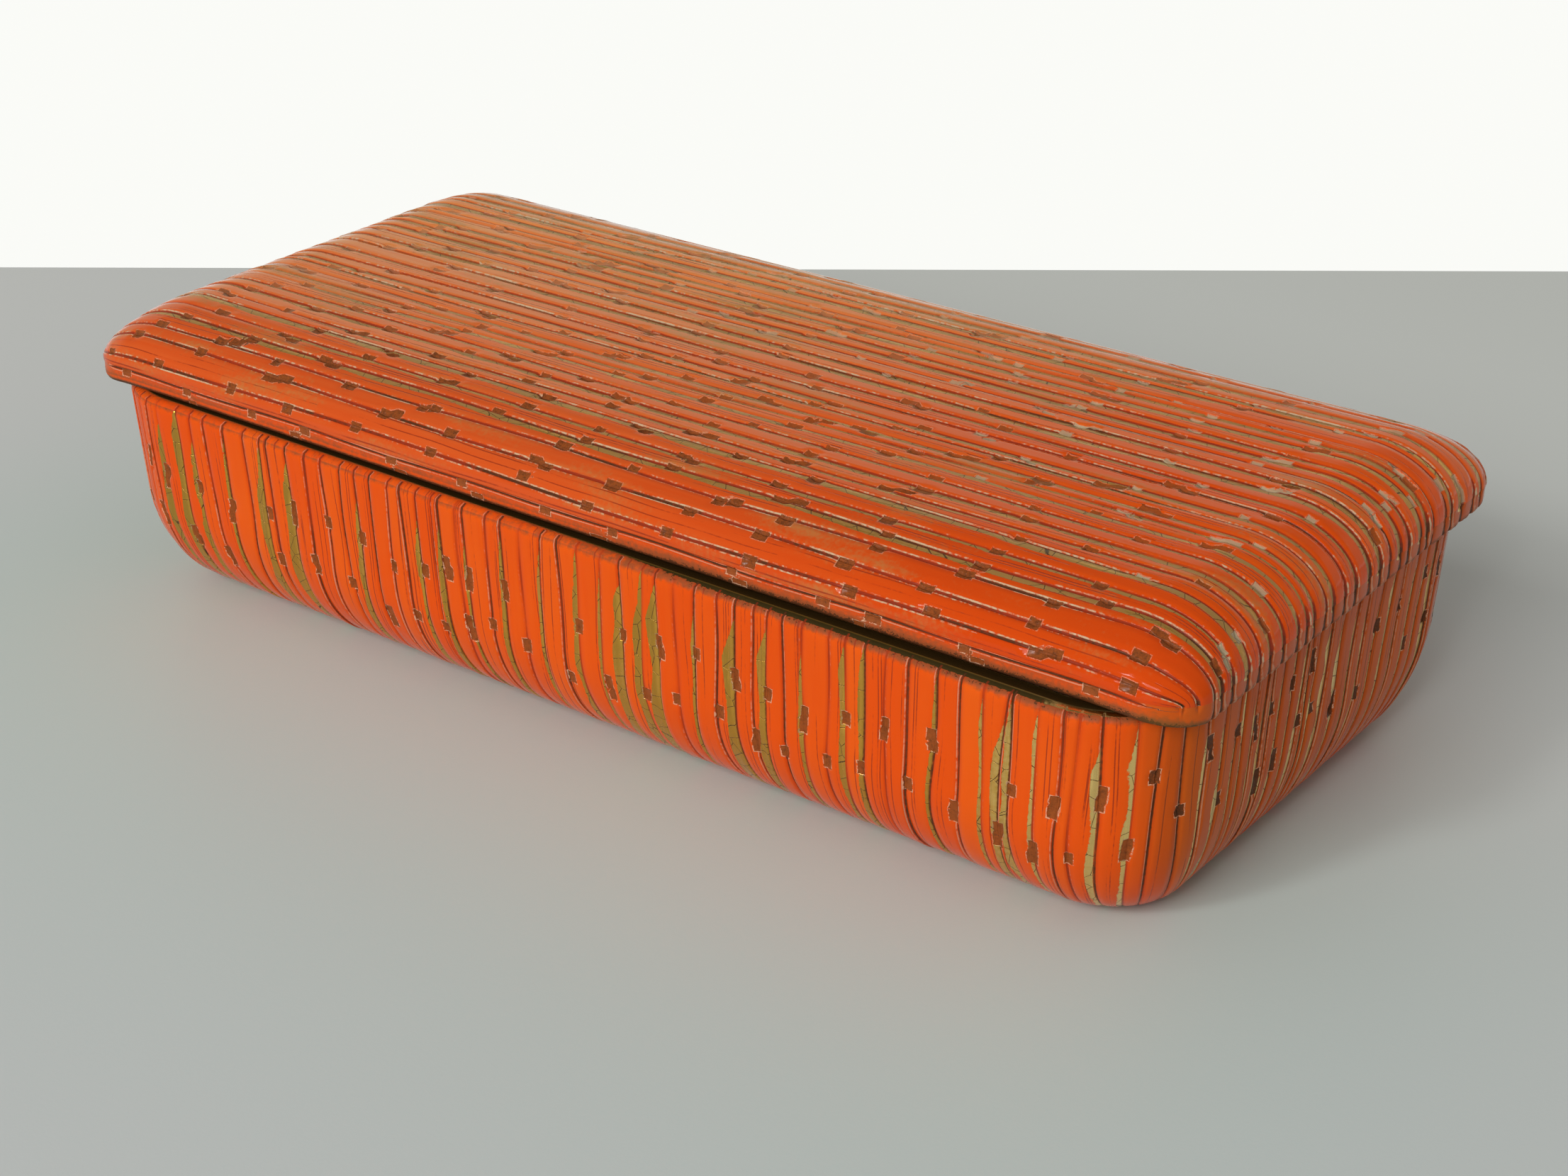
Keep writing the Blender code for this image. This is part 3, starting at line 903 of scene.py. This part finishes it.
def border_of(sheet):
    """The sheet's border, anticlockwise from the front left corner.

    Gives its point numbers, the measures there, the distance walked to each point, and where they lie as
    level_rings takes it.
    """
    rows, columns = sheet["points"].shape[:2]
    number = np.arange(rows * columns).reshape(rows, columns)
    border = np.concatenate([number[:-1, 0], number[-1, :-1], number[:0:-1, -1], number[0, :0:-1]])
    at_border = {name: value[border] for name, value in join_blocks([sheet])[0].items()}
    around = walk(np.abs(np.diff(at_border["strip"], axis=0)).sum(axis=1))
    x, y = at_border["points"][:, 0], at_border["points"][:, 1]
    over_x = np.sign(x) * np.maximum(np.abs(x) - lid_half_length + lid_corner, 0)
    over_y = np.sign(y) * np.maximum(np.abs(y) - lid_half_width + lid_corner, 0)
    where = np.stack([np.clip(x / (lid_half_length - lid_corner), -1, 1),
                      np.clip(y / (lid_half_width - lid_corner), -1, 1),
                      np.arctan2(over_y, over_x)])
    return border, at_border, around, where


def fallen(where, levels, falls):
    """Level rings whose ends come down by falls."""
    made = level_rings(where, levels)
    made[..., 2] -= np.asarray(falls)[:, None] * (np.abs(made[..., 0]) / levels[:, :1]) ** arch_power
    return made


def lip_rings(at_border, around, where, spread):
    """The lip's rings from its lowest edge up to the sheet's border.

    The lip draws in below the widest line by the cube of a quarter ellipse's share. Along the sides one more
    line is scored on it, with punched marks, and below that the glaze is thin. Over the ends the top's own
    lines run on down.
    """
    turn = np.linspace(pi / 2, 0, 200)
    undercut = lip_undercut * (1 - np.sin(turn)) ** 3
    height = seat_height + arch + lip_thickness * (1 - np.cos(turn))
    lip = np.stack([lid_half_length - undercut, lid_half_width - undercut, lid_corner - undercut, height],
                   axis=1)
    arc = np.array([0.2, 0.4, 0.6, 0.8, 1.05, 1.35, 1.7, 2.2, 2.8, 3.4, 4.0, path_length(lip)[-1]])
    lip = rows_at(lip, arc)

    rng = np.random.default_rng(8)
    at_end = np.cos(where[2]) ** 2
    away = 5 * (1 - at_end)
    score, banked, force = at_border["score"].T
    down = arc[:, None]
    by_end = score * (1 - 0.5 * smooth(down, 0.8, 3.2)) + away
    by_side = down - 0.5 - wander(around, 0.22, (20, 90), rng, 1)[:, 0]
    by_side = by_side + np.sign(by_side) * 5 * at_end
    from_end = by_end < np.abs(by_side)
    distance = np.where(from_end, by_end, by_side)
    banked = np.where(from_end, banked, 1.0)
    force = np.where(from_end, np.maximum(force, 0.9), 0.95 + wander(around, 0.3, (15, 60), rng, 1)[:, 0])
    upper, lower = 0.95, 2.7
    spots = [(upper + rng.uniform(-0.15, 0.25), at + rng.normal(0, 3), 0.7, rng.uniform(0.9, 1.5), 0.35, 0.0)
             for at in np.arange(12, around[-1], 18.0)]
    spots += [(lower + rng.uniform(-0.4, 0.4), at + rng.normal(0, 4), 0.5, rng.uniform(0.9, 1.7), 0.3, 0.0)
              for at in np.arange(5, around[-1], 26.0)]
    mark = punch(spots, arc, np.broadcast_to(around, distance.shape))
    mark[..., :2] += (6 * at_end)[:, None]
    inside = at_border["gold"] * (1 - smooth(down, 0, 2)) - 3 * smooth(down, 0.5, 2.5)
    lift = relief(distance, banked, force, inside, 1.0, mark, 0.0) * smooth(down, 0, 0.3)
    lift = (lift + at_border["lift"] * (1 - smooth(down, 0.0, 1.5))) * (1 - smooth(down, 3.4, 4.4))
    worn = (0.48 * smooth(down, 0.6, 1.2) + 0.44 * smooth(down, 1.3, 3.0)) * (1.0 - 0.8 * at_end)
    # Over the ends the band at the lip's lower edge is darker: partly thin glaze, partly painted shade where
    # the lid meets the tray
    worn = worn + (0.40 + 0.45 * at_end) * smooth(down, 2.2, 3.4)
    outward = together(np.sin(where[2]), np.cos(where[2]), 0.0)
    plan = unrolled(where, lip[-1:], [spread + 1.5])
    measures = {
        "lift": lift, "worn": worn, "mark": mark[..., [0, 1, 3]], "gold": inside,
        "score": together(distance, banked, force),
        "hair": at_border["hair"] + (away + 5 * smooth(down, 0.0, 0.5))[..., None],
        "tone": np.broadcast_to(at_border["tone"], distance.shape),
        "comb": at_border["comb"] + down[..., None] * outward,
        "strip": together(around, border_height - down),
        "plan": np.broadcast_to(plan, distance.shape + (2,))}
    points = fallen(where, lip, lid_fall(1.0, 1.0, lip[:, 3]))
    return rings(points[::-1], **{name: value[::-1] for name, value in measures.items()})


def lid_skin():
    """The lid's rings from the middle of its hollow out over flange, seat and lip, and the sheet on top.

    Gives both, the numbers of the sheet's border points, and the distance walked to each.
    """
    along, place, half_wide, measures = lid_pattern(np.random.default_rng(31))
    sheet = rings(lid_surface(along[:, None], np.clip(place, -half_wide, half_wide)), **measures)
    border, at_border, around, where = border_of(sheet)

    inner = np.array([tray_half_length - flange_inset - flange_thickness,
                      tray_half_width - flange_inset - flange_thickness,
                      flange_corner - flange_thickness])
    steps = [(-25.0, lid_ceiling), (-1.0, lid_ceiling), (-0.3, lid_ceiling - 0.3), (0.0, lid_ceiling - 1.0),
             (0.0, flange_foot + 1.0), (0.3, flange_foot + 0.3), (1.0, flange_foot),
             (flange_thickness - 1.0, flange_foot), (flange_thickness - 0.3, flange_foot + 0.3),
             (flange_thickness, flange_foot + 1.0), (flange_thickness, seat_height + arch)]
    hollow = np.array([[*(inner[:2] + out), max(inner[2] + out, inner[2] / 2), high] for out, high in steps])
    seat = np.array([[lid_half_length - seat_inset, lid_half_width - seat_inset, lid_corner - seat_inset,
                      seat_height + arch]])
    spread = walk([0.0, *np.abs(np.diff(hollow[1:, 3]))])
    coarse, middling = where[:, ::4], where[:, ::2]
    hollow_falls = [0.0] * (len(steps) - 1) + [arch]
    under = rings(fallen(coarse, hollow, hollow_falls), plan=unrolled(coarse, hollow, spread))
    seat_ring = rings(fallen(middling, seat, [arch]), plan=unrolled(middling, seat, spread[-1:]))
    return [under, seat_ring, lip_rings(at_border, around, where, spread[-1])], sheet, border, around


blocks, sheet, border, around = lid_skin()
flat, numbers = join_blocks(blocks + [sheet])
ring_count = sum(len(block["points"]) for block in blocks)
grid = np.array(numbers[ring_count:])
seam = grid.ravel()[border]
faces = skin_faces(numbers[:ring_count] + [seam])
sheet_faces = np.stack([grid[:-1, :-1], grid[1:, :-1], grid[1:, 1:], grid[:-1, 1:]], axis=-1).reshape(-1, 4)
# The UV page: the sheet, the lip in four strips, and what is underneath as plan 0. On the seam the sheet
# wants the distances walked and the strips want the distance round the lid, so the sheet is laid out first.
lid_page = 252.0
half_long, half_wide = -sheet["strip"][0, 0]
sheet_places = (flat["strip"][sheet_faces] + (half_long + 1, half_wide + 1)).reshape(-1, 2) / lid_page
flat["strip"][seam] = together(around, border_height)
sides = 2 * half_long, 2 * half_wide
strips = [(1.0, 119.5), (1.0, 133.0), (1.0, 126.5), (126.0, 133.0)]
plans = [(100.0, 193.0, 0.62)]
lip_count = len(blocks[2]["points"])
on_plan = [0] * (len(faces) - lip_count) + [None] * lip_count
ring_places = lay_on_page(flat, faces, on_plan, sides, strips, plans, lid_page)
page = np.concatenate([ring_places, sheet_places])
x, y, z = flat["points"].T
flat["points"] = together(x * cos(lid_turn) - y * sin(lid_turn),
                          x * sin(lid_turn) + y * cos(lid_turn) + lid_shift - lid_forward, z)
flange_pairs = range(6, 13)       # the pairs of rings from the flange's foot to the seat
lid = make_mesh("scored_lid", flat, faces + [sheet_faces], flange_pairs, page,
                (scored_glaze("lid_glaze", 0.16), clay))
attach(lid, "lid")
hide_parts("lid")


# The table and the backdrop
# A plain pale grey table that ends behind the box, with nothing but white behind it. It is laid out from the
# camera's place, because the table's far edge runs level across the picture.

table_grey = (0.645, 0.68, 0.668, 1)
table_light = (0.665, 0.70, 0.69, 1)
painted_light_right = (0.73, 0.75, 0.73, 1)        # painted light: paler right, behind and left of the box, and a painted cool tint in front of it
painted_light_rear = (0.735, 0.76, 0.735, 1)
painted_light_left = (0.73, 0.745, 0.735, 1)
painted_cool_tint = (0.61, 0.72, 0.68, 1)
backdrop_white = (0.96, 0.965, 0.93, 1)
photo_width = 2212
focal_pixels = 3955.2
azimuth = radians(36.93)
elevation = radians(26.18)
roll = radians(0.15)
camera_distance = 533.06
camera_right = 4.67
camera_up = 9.18
table_reach = 680.0               # level distance from the camera to the table's far edge
floor_half = 4000.0

back = Vector((sin(azimuth) * cos(elevation), -cos(azimuth) * cos(elevation), sin(elevation)))
right = Vector((cos(azimuth), sin(azimuth), 0.0))
up = back.cross(right)
eye = back * camera_distance + right * camera_right + up * camera_up
ahead = Vector((-sin(azimuth), cos(azimuth), 0.0))

floor_mesh = bpy.data.meshes.new("floor")
floor_mesh.from_pydata([Vector((x, y, 0)) * floor_half * MM for x, y in ((-1, -1), (1, -1), (1, 1), (-1, 1))],
                       [], [(0, 1, 2, 3)])
floor = bpy.data.objects.new("floor", floor_mesh)
bpy.context.scene.collection.objects.link(floor)
material, shader, wire, place = new_finish("grey_laminate", Roughness=0.45, IOR=1.5, Specular_IOR_Level=0.25)
cloud = wire.speckle(place, 0.004, 2.0)
rightward, backward, _ = place.parts()
# Painted light: the table paler where the lamp falls off or the box shades it, and a painted cool tint in
# front of the box against the orange light the tray throws there
beside = (-backward).rise(210.0, 60.0) * abs(rightward).rise(210.0, 100.0) * backward.rise(60.0, -40.0)
colour = (cloud + 0.5).rise(0.2, 0.8).blend(table_grey, table_light)
colour = (rightward * 0.8 + backward * 0.6).rise(60.0, 250.0).blend(colour, painted_light_right)
colour = backward.rise(80.0, 190.0).blend(colour, painted_light_rear)
colour = (-rightward).rise(60.0, 280.0).blend(colour, painted_light_left)
colour = beside.blend(colour, painted_cool_tint)
grain = wire.speckle(place, 1.6, 3.0)
bump = wire.node("Bump", None, {"Strength": 0.12, "Distance": 0.1 * MM, "Height": grain})
connect(shader, Base_Color=colour, Normal=bump)
# Past the table's edge the floor is white to the camera and in reflections, and lights nothing
past_edge = place.toward(ahead).beyond(eye.dot(ahead) + table_reach)
seen = wire.ray("Camera").most(wire.ray("Glossy")).most(wire.ray("Transmission"))
white = wire.node("Emission", None, {"Color": backdrop_white, "Strength": 1.0})
mixed = wire.node("MixShader", None, {0: past_edge * seen, 1: Wire(wire.tree, shader.outputs[0]), 2: white})
wire.tree.links.new(mixed.socket, wire.tree.nodes["Material Output"].inputs["Surface"])
floor_mesh.materials.append(material)


# The light and the camera
# One large soft lamp like a window in front, and two small ones that glint in the glaze. The room is dim and
# white, and what the glaze mirrors of it is warm, brightest low behind the box.

lamp_aim = Vector((0, 0, 30))
room_fill = 0.29                  # the light that the room sends to matt surfaces
mirrored_room = 0.15              # what glossy ones see of it, and of its far wall on top of that
mirrored_wall = 0.62
room_white = (1.0, 1.0, 0.97, 1)
room_warm = (1.0, 0.95, 0.70, 1)


def soft_lamp(name, place, size, power):
    data = bpy.data.lights.new(name, "AREA")
    data.shape = "RECTANGLE"
    data.size, data.size_y = size[0] * MM, size[1] * MM
    data.energy = power
    lamp = bpy.data.objects.new(name, data)
    bpy.context.scene.collection.objects.link(lamp)
    lamp.location = Vector(place) * MM
    lamp.rotation_euler = (Vector(place) - lamp_aim).to_track_quat("Z", "Y").to_euler()


soft_lamp("window", (250, -2795, 1780), (1960, 1540), 54.5)
soft_lamp("window_pane", (-400, -1980, 1230), (300, 300), 8.5)
soft_lamp("small_lamp", (650, -1930, 1250), (150, 150), 2.0)

world = bpy.data.worlds.new("white_room")
bpy.context.scene.world = world
world.use_nodes = True
wire = Wire(world.node_tree)
direction = wire.node("TexCoord")
height = direction.parts()[2]
wall = direction.toward(ahead).rise(-0.2, 0.5) * height.rise(0.57, 0.38)
mirrored = wire.ray("Glossy").most(wire.ray("Transmission"))
strength = (wire.ray("Camera") * 0.96).most(mirrored * (wall * mirrored_wall + mirrored_room))
strength = strength.most((1 - mirrored) * room_fill)
warmth = mirrored.blend(room_white, room_warm)
background = world.node_tree.nodes["Background"]
world.node_tree.links.new(warmth.socket, background.inputs["Color"])
world.node_tree.links.new(strength.socket, background.inputs["Strength"])

scene = bpy.context.scene
camera_data = bpy.data.cameras.new("camera")
camera_data.sensor_width = 36.0
camera_data.lens = camera_data.sensor_width * focal_pixels / photo_width
camera_data.clip_start = 0.01
camera = bpy.data.objects.new("camera", camera_data)
scene.collection.objects.link(camera)
turned_right = right * cos(roll) + up * sin(roll)
turned_up = up * cos(roll) - right * sin(roll)
turned = Matrix((turned_right, turned_up, back)).transposed().to_4x4()
camera.matrix_world = Matrix.Translation(eye * MM) @ turned
scene.camera = camera
scene.view_settings.view_transform = "Standard"
